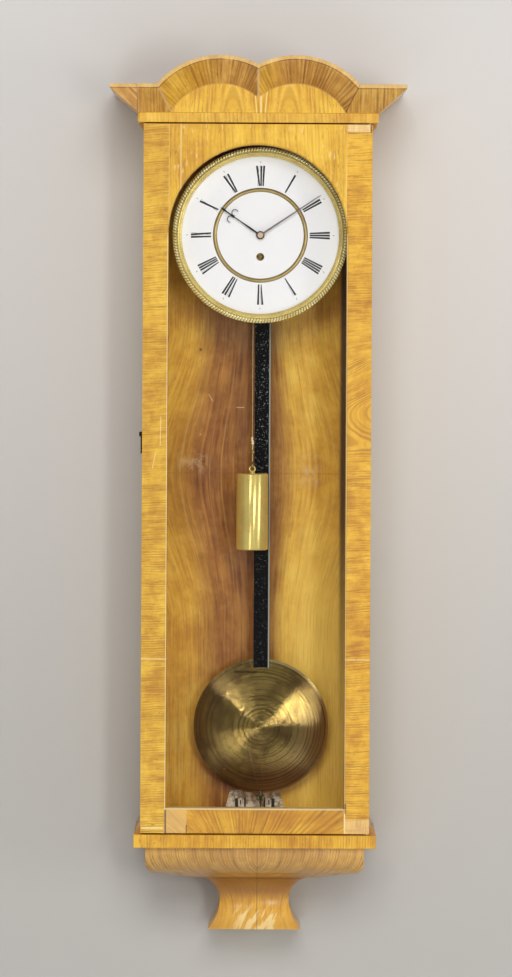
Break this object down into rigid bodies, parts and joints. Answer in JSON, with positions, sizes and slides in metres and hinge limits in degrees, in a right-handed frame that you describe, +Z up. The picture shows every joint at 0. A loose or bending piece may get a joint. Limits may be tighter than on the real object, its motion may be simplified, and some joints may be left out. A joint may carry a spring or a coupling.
{
  "type": "vienna regulator wall clock",
  "caption": "Tall narrow glazed wall clock in honey-coloured wood with a twin-arched cornice, white dial, long pendulum and one driving weight.",
  "frame": {"origin": "centre of the hanging hole on the wall plane, at the back of the case", "axes": "+Z up, -Y out of the wall towards the viewer, +X to the viewer's right"},
  "size_m": [0.3254, 0.171, 0.9684],
  "materials": {
    "case_wood": "polished honey-coloured fruitwood, worn",
    "inner_veneer": "quarter-matched veneer, semi-gloss",
    "door_veneer": "crossbanded figured veneer, polished",
    "pale_band": "pale veneer, polished",
    "cornice_wood": "grain running across the moulding, polished",
    "ebonised_wood": "black polished",
    "brass": "polished, aged",
    "aged_brass": "turned, tarnished",
    "steel": "ground",
    "iron": "dark forged",
    "blued_steel": "black-blue polished",
    "enamel": "white fired enamel, glossy",
    "bone": "off-white, smooth",
    "glass": "thin clear pane",
    "gut": "translucent twisted gut"
  },
  "bodies": {
    "case": {"back_board": "inner_veneer", "left_side": "case_wood", "right_side": "case_wood", "top_board": "pale_band", "base_board": "case_wood", "drop_console": "case_wood", "side_mouldings": "case_wood", "pediment_panel": "door_veneer", "pediment_sides": "case_wood", "left_arch_moulding": "cornice_wood", "right_arch_moulding": "cornice_wood", "left_cornice": "cornice_wood", "right_cornice": "cornice_wood", "left_return": "cornice_wood", "right_return": "cornice_wood", "hanger_plate": "brass", "hanger_screws": "steel", "beat_scale": "bone", "hinge_pins": "brass", "hook_screw": "iron", "movement_bracket": "brass", "back_plate": "brass", "front_plate": "brass", "plate_pillars": "brass", "dial_feet": "brass", "dial_plate": "brass", "chapter_ring": "enamel", "centre_disc": "enamel", "dial_ring": "brass", "bezel": "brass", "suspension_cock": "brass", "gut_line": "gut"},
    "door": {"hinge_sockets": "brass", "left_stile": "door_veneer", "right_stile": "door_veneer", "top_rail": "door_veneer", "bottom_rail": "door_veneer", "door_glass": "glass", "glass_beads": "case_wood", "hook_peg": "iron"},
    "latch": {"side_hook": "iron"},
    "minute_arbor": {"centre_wheel": "brass", "minute_hand": "blued_steel"},
    "motion_wheel": {"minute_wheel": "brass"},
    "hour_pipe": {"hour_wheel": "brass", "hour_hand": "blued_steel"},
    "great_arbor": {"great_wheel": "brass"},
    "ratchet_click": {"click": "steel"},
    "barrel": {"winding_barrel": "brass"},
    "third_arbor": {"third_wheel": "brass"},
    "escape_arbor": {"escape_wheel": "brass"},
    "anchor": {"anchor_and_crutch": "steel"},
    "pendulum": {"suspension_spring": "steel", "pendulum_rod": "ebonised_wood", "rating_screw": "steel"},
    "bob": {"bob_shells": "aged_brass", "bob_core": "iron"},
    "nut": {"rating_nut": "brass"},
    "weight": {"weight": "brass", "weight_hook": "iron"}
  },
  "joints": [
    {"name": "door_swing", "type": "hinge", "parent": "case", "child": "door", "pos_m": [0.123, -0.1265, -0.7555], "axis": [0, 0, 1], "range_deg": [0, 110]},
    {"name": "latch_turn", "type": "hinge", "parent": "case", "child": "latch", "pos_m": [-0.1274, -0.106, -0.316], "axis": [-1, 0, 0], "range_deg": [0, 90]},
    {"name": "minute_spin", "type": "hinge", "parent": "case", "child": "minute_arbor", "pos_m": [0.003, -0.084, -0.095], "axis": [0, 1, 0], "continuous": true},
    {"name": "motion_wheel_spin", "type": "hinge", "parent": "case", "child": "motion_wheel", "pos_m": [0.018, -0.092, -0.095], "axis": [0, 1, 0], "continuous": true},
    {"name": "hour_spin", "type": "hinge", "parent": "case", "child": "hour_pipe", "pos_m": [0.003, -0.095, -0.095], "axis": [0, 1, 0], "continuous": true},
    {"name": "great_spin", "type": "hinge", "parent": "case", "child": "great_arbor", "pos_m": [0.003, -0.058, -0.119], "axis": [0, 1, 0], "continuous": true},
    {"name": "third_spin", "type": "hinge", "parent": "case", "child": "third_arbor", "pos_m": [-0.01, -0.066, -0.083], "axis": [0, 1, 0], "continuous": true},
    {"name": "escape_spin", "type": "hinge", "parent": "case", "child": "escape_arbor", "pos_m": [0.0065, -0.076, -0.07687], "axis": [0, 1, 0], "continuous": true},
    {"name": "click_lift", "type": "hinge", "parent": "great_arbor", "child": "ratchet_click", "pos_m": [-0.0115, -0.06, -0.119], "axis": [0, -1, 0], "range_deg": [0, 12]},
    {"name": "barrel_wind", "type": "hinge", "parent": "great_arbor", "child": "barrel", "pos_m": [0.003, -0.07, -0.119], "axis": [0, 1, 0], "range_deg": [-2250.8, 1350.9]},
    {"name": "weight_travel", "type": "slide", "parent": "case", "child": "weight", "axis": [0, 0, 1], "range_m": [-0.3, 0.18], "deforming": ["gut_line"]},
    {"name": "pendulum_swing", "type": "hinge", "parent": "case", "child": "pendulum", "pos_m": [0.0065, -0.035, -0.0576], "axis": [0, 1, 0], "range_deg": [-2.5, 2.5]},
    {"name": "anchor_rock", "type": "hinge", "parent": "case", "child": "anchor", "pos_m": [0.0065, -0.06, -0.0576], "axis": [0, 1, 0], "range_deg": [-2.6, 2.6]},
    {"name": "bob_rating", "type": "slide", "parent": "pendulum", "child": "bob", "axis": [0, 0, 1], "range_m": [-0.003, 0.003]},
    {"name": "nut_turn", "type": "hinge", "parent": "bob", "child": "nut", "pos_m": [0.0065, -0.035, -0.7246], "axis": [0, 0, 1], "range_deg": [-1085, 1085]}
  ],
  "couplings": [
    {"joint": "motion_wheel_spin", "follows": "minute_spin", "ratio": -0.33333},
    {"joint": "hour_spin", "follows": "minute_spin", "ratio": 0.083333},
    {"joint": "great_spin", "follows": "minute_spin", "ratio": -0.083333},
    {"joint": "third_spin", "follows": "minute_spin", "ratio": -10},
    {"joint": "escape_spin", "follows": "minute_spin", "ratio": 78},
    {"joint": "barrel_wind", "follows": "weight_travel", "rad_per_m": 130.89},
    {"joint": "anchor_rock", "follows": "pendulum_swing", "ratio": 1},
    {"joint": "nut_turn", "follows": "bob_rating", "rad_per_m": 6283.2}
  ]
}
